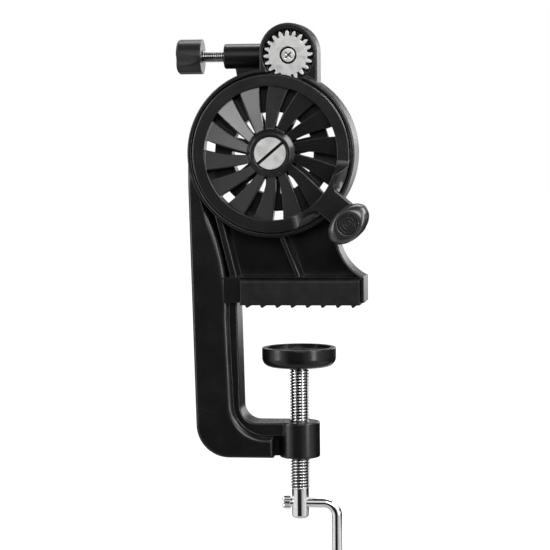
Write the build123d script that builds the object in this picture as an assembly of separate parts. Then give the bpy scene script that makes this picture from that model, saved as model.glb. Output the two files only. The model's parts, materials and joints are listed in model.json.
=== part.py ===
from build123d import *
import math
import os

# Fishing line winder that clamps to a table edge. Millimetres, +Z up, +X to the right seen from the
# hand wheel's side, -Y towards that side. The origin is on the clamp screw's axis, in the plane of
# the upper jaw's rib crests, half way through the frame.

# ---------------------------------------------------------------- driving dimensions
# Gears
module = 1.1
wheel_teeth = 69
pinion_teeth = 20
pressure_angle = 20.0
tooth_play = 0.12
dedendum_factor = 1.25
gear_width = 4.5
gear_to_web = 0.7
flank_points = 5

# Shaft places
wheel_x = -11.8
wheel_z = 76.5
centre_tilt = 10.4
pinion_tooth_angle = 92.0

# Frame
frame_front = -10.8
frame_back = 11.0
casing_front = -11.6
casing_wall = 1.9
casing_edge = 0.7
wheel_room = 0.5
web_front = -3.4
web_thickness = 3.0
hub_boss_radius = 9.0
web_hub_radius = 13.5
web_opening_radius = 20.5
web_spokes = 7
web_spoke_angle = 270.0
web_spoke_width = 7.2
window_angles = (17.7, 174.6, 224.9, 273.8, 324.3)
window_radius = 31.6
window_length = 5.2
window_width = 6.0
back_rib = 2.0
back_rib_end = 6.0
back_ribs = 7
back_rib_angle = 43.5
spine_left = -53.9
spine_lean = 2.8
spine_foot = 6.3
spine_shoulder = 16.0
spine_meets_casing = 176.0
corner_radius = 16.5
frame_bottom = -75.5
throat_left = -30.2
throat_lean = 1.1
throat_radius = 8.3
arm_height = 17.2
arm_boss_gap = 2.2
strip_front = -7.0
spine_strip = 3.5
neck_inset = 1.7
neck_z = -5.0
waist_inset = 3.9
waist_z = 23.8
head_inset = 14.6
head_z = 53.6
arm_strip = 6.4
arm_set_back = -1.0
strip_fillet = 3.0
strip_edge = 0.8
edge_fillet = 1.6
spine_wall = 3.0
spine_back_depth = 8.0
spine_back_ribs = 4
arm_back_ribs = 1

# Upper jaw and its rubber boot
jaw_left = -36.4
jaw_right = 33.9
jaw_bottom = 2.4
jaw_top = 15.1
boot_end_gap = 0.4
boot_left = -27.8
boot_right = 31.9
boot_depth = 12.0
boot_wall = 2.2
boot_base = 1.2
boot_top = 14.3
boot_fillet = 1.8
boot_fit = 0.02
boot_ribs = 8
boot_rib_width = 1.8
boot_rib_crest = 0.8
boot_rib_inset = 3.4

# Pocket under the wheel
pocket_web_front = 4.0
pocket_web_thickness = 3.0
edge_wall = 1.4
edge_arc_x = 45.6
edge_arc_z = 37.6
edge_arc_radius = 25.2
rib_front = -9.0
rib_fillet = 0.9
left_rib_width = 3.7
left_rib_head_x = -38.9
left_rib_foot_x = -31.1
middle_rib_width = 2.7
middle_rib_head_x = -7.3
middle_rib_foot_x = 1.4

# Tower round the pinion
tower_front = -8.8
tower_back = 7.0
tower_wall = 1.5
tower_rise = 1.6
tower_edge = 1.0
pinion_recess_gap = 0.8
rear_boss_radius = 9.0
rear_boss_back = 13.6
bore_room = 0.5

# Hand wheel
flange_over = 0.25
flange_front = -11.9
flange_thickness = 2.8
flange_edge = 0.8
rim_width = 6.1
hub_radius = 12.0
hub_front = -13.0
hub_chamfer = 2.0
blades = 14
gap_angle = 17.9
gap_sweep = 9.5
gap_bow = 0.45
gap_at_hub = 1.0
gap_at_middle = 3.3
gap_at_rim = 5.0
blade_high = -11.0
blade_low = -8.6
blade_back = -5.4

# Crank lobe and grip
crank_radius = 53.0
crank_angle = -39.9
lobe_front = -16.2
lobe_back = -12.1
lobe_half_width = 7.0
lobe_edge = 0.8
lobe_lip = 1.6
lobe_lip_angle = 24.0
lobe_ramp_angle = 12.0
lobe_scoop_reach = 7.5
lobe_scoop_under = 1.3
lobe_scoop_dip = 0.1
grip_gap = 0.4
grip_length = 20.0
grip_turn = 44.0
grip_sections = (
    # share of the length from the foot, half the long axis, half the short axis
    (0.0, 5.6, 5.6),
    (0.3, 8.2, 6.6),
    (0.6, 11.2, 7.4),
    (0.78, 11.9, 7.6),
    (0.92, 10.2, 7.1),
    (1.0, 6.6, 6.2),
)
crank_pin_radius = 2.5
crank_pin_head_radius = 4.0
crank_pin_head = 1.2
crank_pin_seat = 3.6
cap_radius = 5.2
cap_thickness = 1.4
cap_recess = 0.7
cap_ring_radii = (2.3, 3.9)
cap_groove = 0.3
cap_ring = 0.5
cap_dimple_radius = 0.8

# Wheel axle, its bush and coin screw
axle_radius = 4.0
axle_back = 9.5
bush_wall = 1.5
coin_radius = 8.25
coin_thickness = 2.3
coin_edge = 0.35
coin_slot = 1.5
coin_slot_depth = 1.5
coin_slot_angle = 40.0
coin_shank_radius = 2.5
coin_shank_length = 9.0
washer_radius = 7.6
washer_thickness = 0.5
head_gap = 0.35

# Spindle
spindle_radius = 4.0
spindle_seat_radius = 3.0
spindle_flat = 2.4
spindle_chamfer = 0.6
spindle_end = 68.0
pilot_radius = 3.2
pilot_length = 8.0
spindle_bush_wall = 2.45
front_bush_length = 2.4
rear_bush_length = 8.2
pinion_recess_radius = 4.25
pinion_recess_depth = 1.7
pinion_screw_head_radius = 3.7
pinion_screw_head = 1.3
pinion_screw_edge = 0.5
pinion_screw_radius = 2.0
pinion_screw_length = 9.0
cross_width = 0.9
cross_length = 4.2
cross_depth = 1.8
cross_angle = 45.0
collar_radius = 7.0
collar_width = 1.6

# Spool cones and nut
inner_cone_base = 11.6
inner_cone_tip = 5.6
inner_cone_length = 11.0
outer_cone_base = 9.2
outer_cone_tip = 5.4
outer_cone_length = 9.0
cone_rim = 2.0
cone_gap = 7.0
spool_nut_radius = 7.2
spool_nut_length = 8.0
spool_nut_grips = 12
spool_nut_groove = 1.0
spool_nut_chamfer = 0.6

# Tension screw
tension_y = 2.1
tension_boss_radius = 6.2
tension_boss_length = 18.7
tension_boss_edge = 0.6
gusset_inset = 4.6
gusset_lean = 1.9
gusset_thickness = 5.0
insert_wall = 1.5
tension_insert_length = 10.0
tension_screw_radius = 2.95
tension_screw_out = 11.2
tension_knob_length = 12.4
tension_knob_radius = 8.65
knob_flutes = 3
knob_flute_angle = 191.0
knob_flute_radius = 5.0
knob_flute_depth = 2.2
tension_knob_collar = 2.0
tension_knob_chamfer = 1.0
tension_knob_seat = 9.0
shoe_radius = 2.5
shoe_length = 11.5
shoe_slack = 1.5

# Clamp screw, cup pad and handle
boss_radius = 10.15
boss_rise = 0.3
boss_drop = 0.5
boss_edge = 0.8
clamp_insert_wall = 2.05
clamp_insert_length = 12.0
clamp_screw_radius = 4.9
clamp_thread_below = 16.75
clamp_shank_radius = 4.25
clamp_shank_length = 14.3
clamp_screw_end = 1.6
stem_tip = 0.8
clamp_stem_radius = 3.2
cup_radius = 18.5
cup_top = -20.7
cup_height = 9.6
cup_rim = 2.4
cup_recess = 1.8
cup_floor = 3.6
cup_well_radius = 7.0
cup_bottom_fillet = 4.6
cup_edge = 0.5
retainer_radius = 6.0
retainer_thickness = 1.0
stem_groove = 0.5
handle_drop = 6.45
handle_radius = 2.6
handle_left = -9.2
handle_leg_x = 18.4
handle_bend = 6.3
handle_leg = 45.0
crimp_length = 4.1
crimp_ear_radius = 1.6
crimp_ear_offset = 1.75
crimp_web_start = 0.9
crimp_web = 1.8
crimp_neck = 4.6
crimp_taper = 0.7
handle_room = 0.1
handle_end = 1.2

# Clearances
running = 0.05
gap = 0.3
overshoot = 1.0
same_place = 0.01

# Directions in the XZ plane, degrees from +X
upper_right = 45.0
lower_left = 225.0

# ---------------------------------------------------------------- derived places
wheel_pitch_radius = module * wheel_teeth / 2
wheel_root_radius = wheel_pitch_radius - dedendum_factor * module
pinion_pitch_radius = module * pinion_teeth / 2
centre_distance = wheel_pitch_radius + pinion_pitch_radius
centre_angle = 90.0 - centre_tilt
pinion_x = wheel_x + centre_distance * math.cos(math.radians(centre_angle))
pinion_z = wheel_z + centre_distance * math.sin(math.radians(centre_angle))
pinion_recess = pinion_pitch_radius + module + pinion_recess_gap
tower_radius = pinion_recess + tower_wall
gear_back = web_front - gear_to_web
gear_front = gear_back - gear_width
flange_radius = wheel_pitch_radius + module + flange_over
flange_back = flange_front + flange_thickness
rim_inner_radius = flange_radius - rim_width
web_back = web_front + web_thickness
pocket_web_back = pocket_web_front + pocket_web_thickness
casing_inner = flange_radius + wheel_room
casing_radius = casing_inner + casing_wall
arm_top = frame_bottom + arm_height
arm_face = arm_top - arm_strip
arm_end = -boss_radius - arm_boss_gap
spine_foot_z = arm_top + spine_foot
blade_width = 2 * math.pi * rim_inner_radius / blades - gap_at_rim
crank_x = wheel_x + crank_radius * math.cos(math.radians(crank_angle))
crank_z = wheel_z + crank_radius * math.sin(math.radians(crank_angle))
grip_base = lobe_front - grip_gap
grip_front = grip_base - grip_length
cap_front = grip_front + cap_recess
cap_back = cap_front + cap_thickness
pin_head_back = grip_front + crank_pin_seat
coin_front = hub_front - 0.1
coin_back = coin_front + coin_thickness
axle_front = coin_back + washer_thickness
hub_well = axle_front + 0.15
bush_radius = axle_radius + running + bush_wall
spindle_bush_radius = spindle_radius + running + spindle_bush_wall
front_bush_back = web_front + front_bush_length
rear_bush_front = rear_boss_back - rear_bush_length
pinion_seat = gear_front + pinion_recess_depth
collar_front = rear_boss_back + gap
inner_cone_front = collar_front + collar_width
cone_back = inner_cone_front + inner_cone_length
outer_cone_front = cone_back + cone_gap
outer_cone_back = outer_cone_front + outer_cone_length
nut_front = outer_cone_back + gap
pilot_start = spindle_end - pilot_length
tension_z = pinion_z
tension_boss_left = pinion_x - tower_radius - tension_boss_length
tension_insert_radius = tension_screw_radius + running + insert_wall
tension_insert_right = tension_boss_left + tension_insert_length
tension_knob_right = tension_boss_left - tension_screw_out
tension_knob_left = tension_knob_right - tension_knob_length
shoe_tip = pinion_x - spindle_radius - shoe_slack
tension_screw_tip = shoe_tip - shoe_length
boss_top = arm_top + boss_rise
boss_bottom = frame_bottom - boss_drop
clamp_insert_radius = clamp_screw_radius + running + clamp_insert_wall
clamp_thread_bottom = boss_bottom - clamp_thread_below
clamp_screw_bottom = clamp_thread_bottom - clamp_shank_length
handle_z = clamp_thread_bottom - handle_drop
cup_bottom = cup_top - cup_height
cup_well = cup_bottom + cup_floor
retainer_bottom = cup_well + gap
core_depth = boot_depth - boot_wall
core_bottom = boot_base + boot_wall


# ---------------------------------------------------------------- helpers
def y_rod(radius, y_from, y_to, x=0.0, z=0.0):
    """Cylinder along Y."""
    return Pos(x, (y_from + y_to) / 2, z) * Rot(90, 0, 0) * Cylinder(radius, y_to - y_from)


def x_rod(radius, x_from, x_to, y=0.0, z=0.0):
    """Cylinder along X."""
    return Pos((x_from + x_to) / 2, y, z) * Rot(0, 90, 0) * Cylinder(radius, x_to - x_from)


def z_rod(radius, z_from, z_to, x=0.0, y=0.0):
    """Cylinder along Z."""
    return Pos(x, y, (z_from + z_to) / 2) * Cylinder(radius, z_to - z_from)


def block(x_from, x_to, y_from, y_to, z_from, z_to):
    """Box between two corners."""
    centre = Pos((x_from + x_to) / 2, (y_from + y_to) / 2, (z_from + z_to) / 2)
    return centre * Box(x_to - x_from, y_to - y_from, z_to - z_from)


def polar(radius, angle, x=0.0, z=0.0):
    """Point of the XZ plane at an angle from +X, anticlockwise seen from the front."""
    turn = math.radians(angle)
    return (x + radius * math.cos(turn), 0, z + radius * math.sin(turn))


def prism(edges, y_from, y_to):
    """Solid over a closed outline of the XZ plane, between two Y planes."""
    face = Pos(0, y_from, 0) * make_face(edges)
    return extrude(face, y_to - y_from, dir=(0, 1, 0))


def polygon(*points):
    """Closed straight-sided outline through points (x, z)."""
    return Polyline([(x, 0, z) for x, z in points], close=True)


def bar(start, end, width, y_from, y_to):
    """Straight wall of one width between two points (x, z)."""
    dx = end[0] - start[0]
    dz = end[1] - start[1]
    length = math.hypot(dx, dz)
    side_x = -dz / length * width / 2
    side_z = dx / length * width / 2
    corners = (
        (start[0] + side_x, start[1] + side_z),
        (end[0] + side_x, end[1] + side_z),
        (end[0] - side_x, end[1] - side_z),
        (start[0] - side_x, start[1] - side_z),
    )
    return prism(polygon(*corners), y_from, y_to)


def edges_at_y(shape, y):
    """Edges that lie in the plane Y = y."""
    return shape.edges().filter_by_position(Axis.Y, y - same_place, y + same_place)


def edges_at_z(shape, z):
    """Edges that lie in the plane Z = z."""
    return shape.edges().filter_by_position(Axis.Z, z - same_place, z + same_place)


def y_turned(x, z, *profile):
    """Solid of revolution about a Y axis, over a closed profile of (radius, y) points."""
    face = make_face(Polyline([(radius, y, 0) for radius, y in profile], close=True))
    return Pos(x, 0, z) * revolve(face, Axis.Y)


# ---------------------------------------------------------------- gears
def involute(base_radius, radius):
    """Degrees that an involute has turned through at a radius."""
    if radius <= base_radius:
        return 0.0
    roll = math.sqrt((radius / base_radius) ** 2 - 1)
    return math.degrees(roll - math.atan(roll))


def gear(teeth, tooth_angle):
    """Spur gear round the Y axis with involute flanks; one tooth is centred on tooth_angle."""
    pitch_radius = module * teeth / 2
    base_radius = pitch_radius * math.cos(math.radians(pressure_angle))
    root_radius = pitch_radius - dedendum_factor * module
    tip_radius = pitch_radius + module
    start_radius = max(base_radius, root_radius)
    half_tooth = 90.0 / teeth - math.degrees(tooth_play / 4 / pitch_radius)
    at_pitch = involute(base_radius, pitch_radius)
    pitch_step = 360.0 / teeth

    def half_angle(radius):
        return half_tooth + at_pitch - involute(base_radius, radius)

    step = (tip_radius - start_radius) / (flank_points - 1)
    radii = [start_radius + step * point for point in range(flank_points)]
    edges = []
    for tooth in range(teeth):
        middle = tooth_angle + tooth * pitch_step
        foot = half_angle(start_radius)
        rising = [polar(r, middle - half_angle(r)) for r in radii]
        falling = [polar(r, middle + half_angle(r)) for r in reversed(radii)]
        root_start = polar(root_radius, middle - foot)
        root_end = polar(root_radius, middle + foot)
        next_root = polar(root_radius, middle + pitch_step - foot)
        valley = polar(root_radius, middle + pitch_step / 2)
        if start_radius > root_radius:
            edges.append(Line(root_start, rising[0]))
            edges.append(Line(falling[-1], root_end))
        edges.append(Spline(rising))
        edges.append(ThreePointArc(rising[-1], polar(tip_radius, middle), falling[0]))
        edges.append(Spline(falling))
        edges.append(ThreePointArc(root_end, valley, next_root))
    return prism(edges, gear_front, gear_back)


def wheel_tooth_angle():
    """Angle of a wheel tooth that lies beside the gap filled by a pinion tooth."""
    from_centre_line = pinion_tooth_angle - (centre_angle + 180.0)
    return centre_angle - from_centre_line * pinion_teeth / wheel_teeth + 180.0 / wheel_teeth


# ---------------------------------------------------------------- frame
def spine_outer_x(z):
    """Left face of the leaning spine."""
    return spine_left + spine_lean * (wheel_z - z) / (wheel_z - spine_foot_z)


def throat_x(z):
    """Wall of the throat, which leans with the spine."""
    return throat_left + throat_lean * (jaw_bottom - z) / (jaw_bottom - spine_foot_z)


def casing_z(x, side):
    """Height where the middle of the casing's wall stands at x, above (1) or below (-1) its axis."""
    middle = casing_radius - casing_wall / 2
    return wheel_z + side * math.sqrt(middle**2 - (x - wheel_x) ** 2)


def outer_path(top):
    """Outside of the spine and arm, from a height round to the arm's end."""
    low = frame_bottom + corner_radius
    start = (spine_outer_x(low), 0, low)
    turned = (start[0] + corner_radius, 0, frame_bottom)
    middle = polar(corner_radius, lower_left, turned[0], low)
    return [
        Line((spine_outer_x(top), 0, top), start),
        ThreePointArc(start, middle, turned),
        Line(turned, (arm_end, 0, frame_bottom)),
    ]


def over_outline(solid, y, outline):
    """Edges of a prism's end at Y = y that lie over the given pieces of its outline."""
    centres = [piece.center() + Vector(0, y, 0) for piece in outline]
    found = []
    for edge in edges_at_y(solid, y):
        if min((edge.center() - centre).length for centre in centres) < same_place:
            found.append(edge)
    return found


def face_box():
    """Proud face of the spine and of the lower half of the arm."""
    shoulder = wheel_z - spine_shoulder
    meets_casing = polar(casing_radius, spine_meets_casing, wheel_x, wheel_z)
    outer = [Line(meets_casing, (spine_outer_x(shoulder), 0, shoulder))] + outer_path(shoulder)
    face_knee_x = throat_x(spine_foot_z) - spine_strip
    knee = (face_knee_x, 0, arm_face + corner_radius)
    foot = (face_knee_x + corner_radius, 0, arm_face)
    neck = (face_knee_x - neck_inset, 0, neck_z)
    waist = (face_knee_x - waist_inset, 0, waist_z)
    head = (face_knee_x - head_inset, 0, head_z)
    end = [Line((arm_end, 0, frame_bottom), (arm_end, 0, arm_face))]
    inner = [
        Line((arm_end, 0, arm_face), foot),
        ThreePointArc(foot, polar(corner_radius, lower_left, foot[0], knee[2]), knee),
        Line(knee, neck),
        ThreePointArc(neck, waist, head),
    ]
    solid = prism(outer + end + inner + [Line(head, meets_casing)], frame_front, frame_back)
    round_inside = fillet(over_outline(solid, frame_front, inner), strip_fillet)
    round_outside = fillet(over_outline(solid, frame_front, outer + end), edge_fillet)
    return round_inside & round_outside


def strip_layer():
    """Step along the inside of the spine and arm, set back from the proud face."""
    corner_x = throat_x(arm_top + throat_radius)
    wall_foot = (corner_x, 0, arm_top + throat_radius)
    floor_start = (corner_x + throat_radius, 0, arm_top)
    throat_turn = polar(throat_radius, lower_left, floor_start[0], wall_foot[2])
    inner = [
        Line((arm_end, 0, frame_bottom), (arm_end, 0, arm_face)),
        Line((arm_end, 0, arm_face), (0, 0, arm_face)),
        Line((0, 0, arm_face), (0, 0, arm_top)),
        Line((0, 0, arm_top), floor_start),
        ThreePointArc(floor_start, throat_turn, wall_foot),
        Line(wall_foot, (throat_x(jaw_top), 0, jaw_top)),
        Line((throat_x(jaw_top), 0, jaw_top), (spine_outer_x(jaw_top), 0, jaw_top)),
    ]
    solid = prism(outer_path(jaw_top) + inner, strip_front, frame_back)
    return fillet(over_outline(solid, strip_front, inner[3:6]), strip_edge)


def arm_boss():
    """Arm's lower end, set back behind the step, and the round boss for the clamp screw."""
    arm = block(arm_end - overshoot, 0, arm_set_back, frame_back, frame_bottom, arm_top)
    boss = z_rod(boss_radius, boss_bottom, boss_top)
    boss = fillet(edges_at_z(boss, boss_bottom) + edges_at_z(boss, boss_top), boss_edge)
    return [arm, boss]


def upper_jaw():
    """Jaw over the throat: end blocks, a top plate and the core that the boot slips over."""
    left = block(jaw_left, boot_left - boot_end_gap, frame_front, frame_back, jaw_bottom, jaw_top)
    right = block(boot_right + boot_end_gap, jaw_right, frame_front, frame_back, jaw_bottom, jaw_top)
    plate = block(jaw_left, jaw_right, frame_front, frame_back, boot_top + gap, jaw_top)
    core = block(jaw_left, jaw_right, -core_depth, core_depth, core_bottom, jaw_top)
    return [left, right, plate, core]


def pocket_edge(inset):
    """Points down the right edge of the pocket: casing, start of the sweep, its middle, the jaw."""
    radius = edge_arc_radius + inset
    jaw_angle = 180 + math.degrees(math.asin((edge_arc_z - jaw_top + overshoot) / radius))
    return (
        (edge_arc_x - radius, 0, casing_z(edge_arc_x - radius, -1)),
        (edge_arc_x - radius, 0, edge_arc_z),
        polar(radius, (180 + jaw_angle) / 2, edge_arc_x, edge_arc_z),
        polar(radius, jaw_angle, edge_arc_x, edge_arc_z),
    )


def pocket():
    """Web under the wheel, its swept right wall and the two slanted ribs in front of it."""
    top, sweep, middle, jaw = pocket_edge(0)
    inner_top, inner_sweep, inner_middle, inner_jaw = pocket_edge(edge_wall)
    web_corner = (jaw_left - overshoot, 0, jaw[2])
    web_head = (jaw_left - head_inset, 0, top[2])
    right_side = [Line(top, sweep), ThreePointArc(sweep, middle, jaw)]
    web_edges = [Line(jaw, web_corner), Line(web_corner, web_head), Line(web_head, top)]
    web = prism(right_side + web_edges, pocket_web_front, pocket_web_back)
    wall_edges = [
        Line(jaw, inner_jaw),
        ThreePointArc(inner_jaw, inner_middle, inner_sweep),
        Line(inner_sweep, inner_top),
        Line(inner_top, top),
    ]
    wall = prism(right_side + wall_edges, frame_front, pocket_web_back)
    wall = fillet(over_outline(wall, frame_front, right_side), edge_wall / 2)
    rib_foot_z = jaw_top - overshoot
    beyond = block(jaw_right, edge_arc_x, frame_front, pocket_web_back, rib_foot_z, edge_arc_z)
    ribs = []
    for head_x, foot_x, width in (
        (left_rib_head_x, left_rib_foot_x, left_rib_width),
        (middle_rib_head_x, middle_rib_foot_x, middle_rib_width),
    ):
        start = (head_x, casing_z(head_x, -1))
        rib = bar(start, (foot_x, rib_foot_z), width, rib_front, pocket_web_front)
        ribs.append(fillet(edges_at_y(rib, rib_front), rib_fillet))
    return [web - beyond, wall - beyond] + ribs


def tower():
    """Round-headed housing of the pinion, with the spindle's rear boss."""
    left = pinion_x - tower_radius
    right = pinion_x + tower_radius
    arch_z = pinion_z + tower_rise
    top = (pinion_x, 0, arch_z + tower_radius)
    left_foot = (left, 0, casing_z(left, 1))
    right_foot = (right, 0, casing_z(right, 1))
    outline = [
        Line(left_foot, (left, 0, arch_z)),
        ThreePointArc((left, 0, arch_z), top, (right, 0, arch_z)),
        Line((right, 0, arch_z), right_foot),
    ]
    base = Line(right_foot, left_foot)
    body = prism(outline + [base], tower_front, tower_back)
    body = fillet(over_outline(body, tower_front, outline), tower_edge)
    rear = y_rod(rear_boss_radius, web_back, rear_boss_back, pinion_x, pinion_z)
    return [body, rear]


def tension_boss():
    """Boss to the left of the tower and the gusset that carries it on the casing."""
    right = pinion_x - tower_radius + overshoot
    boss = x_rod(tension_boss_radius, tension_boss_left, right, tension_y, tension_z)
    boss = fillet(boss.edges().sort_by(Axis.X)[:1], tension_boss_edge)
    head_x = tension_boss_left + gusset_inset
    foot_x = head_x + gusset_lean
    outline = polygon(
        (head_x, tension_z),
        (foot_x, casing_z(foot_x, 1)),
        (right, casing_z(right, 1)),
        (right, tension_z),
    )
    half = gusset_thickness / 2
    return [boss, prism(outline, tension_y - half, tension_y + half)]


def spoke_angles():
    """Directions of the spokes between the web's openings."""
    return [web_spoke_angle + number * 360 / web_spokes for number in range(web_spokes)]


def web_pattern():
    """Everything that is cut through the web behind the wheel."""
    front = web_front - overshoot
    back = web_back + overshoot
    ring = y_rod(web_opening_radius, front, back) - y_rod(web_hub_radius, front, back)
    for angle in spoke_angles():
        ring -= bar((0, 0), polar(casing_radius, angle)[::2], web_spoke_width, front, back)
    tools = [ring]
    half = window_length / 2
    for angle in window_angles:
        start = polar(window_radius - half, angle)[::2]
        end = polar(window_radius + half, angle)[::2]
        tools.append(bar(start, end, window_width, front, back))
    return [Pos(wheel_x, 0, wheel_z) * tool for tool in tools]


def casing_back():
    """Hollow behind the web, less the hub boss, spokes, ring and ribs that stand in it."""
    hollow = y_rod(casing_inner, web_back, frame_back + overshoot)
    hollow -= y_rod(hub_boss_radius, web_back, axle_back)
    outer_ring = y_rod(web_opening_radius + back_rib, web_back, back_rib_end)
    hollow -= outer_ring - y_rod(web_opening_radius, web_back, back_rib_end)
    for angle in spoke_angles():
        end = polar(web_opening_radius + back_rib / 2, angle)[::2]
        hollow -= bar((0, 0), end, back_rib, web_back, back_rib_end)
    for number in range(back_ribs):
        angle = back_rib_angle + number * 360 / back_ribs
        start = polar(web_opening_radius + back_rib / 2, angle)[::2]
        hollow -= bar(start, polar(casing_radius, angle)[::2], back_rib, web_back, back_rib_end)
    return Pos(wheel_x, 0, wheel_z) * hollow


def back_hollows():
    """Cored-out backs of the spine and of the arm, crossed by ribs."""
    from_y = frame_back - spine_back_depth
    spine = prism(
        polygon(
            (spine_outer_x(jaw_bottom) + spine_wall, jaw_bottom),
            (spine_outer_x(spine_foot_z) + spine_wall, spine_foot_z),
            (throat_x(spine_foot_z) - spine_wall, spine_foot_z),
            (throat_x(jaw_bottom) - spine_wall, jaw_bottom),
        ),
        from_y,
        frame_back + overshoot,
    )
    pitch = (jaw_bottom - spine_foot_z) / (spine_back_ribs + 1)
    for number in range(spine_back_ribs):
        rib_z = spine_foot_z + pitch * (number + 1)
        half = back_rib / 2
        spine -= block(spine_left, 0, from_y, frame_back + overshoot, rib_z - half, rib_z + half)
    arm_left = spine_outer_x(spine_foot_z) + corner_radius
    arm_right = -boss_radius - spine_wall
    arm_low = frame_bottom + spine_wall
    arm_high = arm_top - spine_wall
    arm = block(arm_left, arm_right, from_y, frame_back + overshoot, arm_low, arm_high)
    pitch = (arm_right - arm_left) / (arm_back_ribs + 1)
    for number in range(arm_back_ribs):
        rib_x = arm_left + pitch * (number + 1)
        half = back_rib / 2
        arm -= block(rib_x - half, rib_x + half, from_y, frame_back + overshoot, arm_low, arm_high)
    return [spine, arm]


def frame_bores():
    """Holes for the axle, the spindle and its bushes, the brake and the clamp screw."""
    above = boss_top + overshoot
    left = tension_boss_left - overshoot
    screw_end = tension_screw_tip + shoe_slack + gap
    on_spindle = [
        y_rod(spindle_bush_radius, web_front - overshoot, front_bush_back),
        y_rod(spindle_bush_radius, rear_bush_front, rear_boss_back + overshoot),
        y_rod(spindle_radius + bore_room, web_front, rear_boss_back),
    ]
    on_brake = [
        x_rod(shoe_radius + gap, tension_insert_right, pinion_x),
        x_rod(tension_screw_radius + gap, left, screw_end),
        x_rod(tension_insert_radius, left, tension_insert_right),
    ]
    return [
        wheel_place(y_rod(axle_radius, web_front - overshoot, axle_back + overshoot)),
        *[spindle_place(bore) for bore in on_spindle],
        *[tension_place(bore) for bore in on_brake],
        z_rod(clamp_screw_radius + gap, boss_bottom - overshoot, above),
        z_rod(clamp_insert_radius, boss_top - clamp_insert_length, above),
    ]


def frame():
    """Whole moulding."""
    casing = y_rod(casing_radius, casing_front, frame_back, wheel_x, wheel_z)
    casing = fillet(edges_at_y(casing, casing_front), casing_edge)
    lower = [strip_layer(), *arm_boss(), *upper_jaw(), *pocket()]
    solid = face_box() + lower + [casing, *tower(), *tension_boss()]
    solid -= wheel_place(y_rod(casing_inner, casing_front - overshoot, web_front))
    solid -= spindle_place(y_rod(pinion_recess, casing_front - overshoot, web_front))
    solid -= [casing_back()] + web_pattern()
    solid -= frame_bores()
    return solid - back_hollows()


# ---------------------------------------------------------------- jaw boot and thread inserts
def jaw_pad():
    """Rubber boot: a channel round the jaw's core with ribs across its sole."""
    outer = block(boot_left, boot_right, -boot_depth, boot_depth, boot_base, boot_top)
    top_edges = edges_at_z(outer, boot_top).filter_by(Axis.X)
    outer = fillet(top_edges, boot_fillet)
    inner_depth = core_depth + boot_fit
    left = boot_left - overshoot
    right = boot_right + overshoot
    inner = block(left, right, -inner_depth, inner_depth, core_bottom - boot_fit, jaw_top)
    pitch = (boot_right - boot_left - 2 * boot_rib_inset) / (boot_ribs - 1)
    ribs = []
    for number in range(boot_ribs):
        x = boot_left + boot_rib_inset + pitch * number
        root = boot_rib_width / 2
        crest = boot_rib_crest / 2
        outline = polygon(
            (x - root, boot_base), (x - crest, 0), (x + crest, 0), (x + root, boot_base)
        )
        ribs.append(prism(outline, -boot_depth, boot_depth))
    return outer - inner + ribs


def tension_insert():
    """Thread insert in the tension boss."""
    sleeve = x_rod(tension_insert_radius, tension_boss_left, tension_insert_right)
    start = tension_boss_left - overshoot
    end = tension_insert_right + overshoot
    return tension_place(sleeve - x_rod(tension_screw_radius + running, start, end))


def clamp_insert():
    """Thread insert in the clamp boss."""
    sleeve = z_rod(clamp_insert_radius, boss_top - clamp_insert_length, boss_top)
    return sleeve - z_rod(clamp_screw_radius + running, boss_bottom, boss_top + overshoot)


# ---------------------------------------------------------------- hand wheel
def wheel_place(shape):
    """Put a shape made round the Y axis on the hand wheel's axis."""
    return Pos(wheel_x, 0, wheel_z) * shape


def blade():
    """Blade on the clockwise side of the first gap; its front slopes down from that gap."""
    pitch = 360 / blades
    middle_radius = (hub_radius + rim_inner_radius) / 2
    gap_half_hub = math.degrees(gap_at_hub / 2 / hub_radius)
    gap_half_middle = math.degrees(gap_at_middle / 2 / middle_radius)
    gap_half_rim = math.degrees(gap_at_rim / 2 / rim_inner_radius)
    hub_angle = gap_angle + gap_sweep
    middle_angle = gap_angle + gap_sweep * gap_bow
    inside = hub_radius - overshoot
    outside = rim_inner_radius + overshoot
    high_hub = polar(inside, hub_angle - gap_half_hub)
    high_rim = polar(outside, gap_angle - gap_half_rim)
    high_middle = polar(middle_radius, middle_angle - gap_half_middle)
    low_hub = polar(inside, hub_angle - pitch + gap_half_hub)
    low_rim = polar(outside, gap_angle - pitch + gap_half_rim)
    low_middle = polar(middle_radius, middle_angle - pitch + gap_half_middle)
    edges = [
        ThreePointArc(high_hub, high_middle, high_rim),
        Line(high_rim, low_rim),
        ThreePointArc(low_rim, low_middle, low_hub),
        Line(low_hub, high_hub),
    ]
    plate = prism(edges, blade_high, blade_back)
    slope = math.degrees(math.atan2(blade_low - blade_high, blade_width))
    edge_angle = math.degrees(math.atan2(high_rim[2] - high_hub[2], high_rim[0] - high_hub[0]))
    room = rim_inner_radius * 4
    above = Box(room, room, room, align=(Align.CENTER, Align.MAX, Align.MAX))
    hinge = Pos(high_hub[0], blade_high, high_hub[2]) * Rot(0, -edge_angle, 0) * Rot(slope, 0, 0)
    return plate - hinge * above


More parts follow.
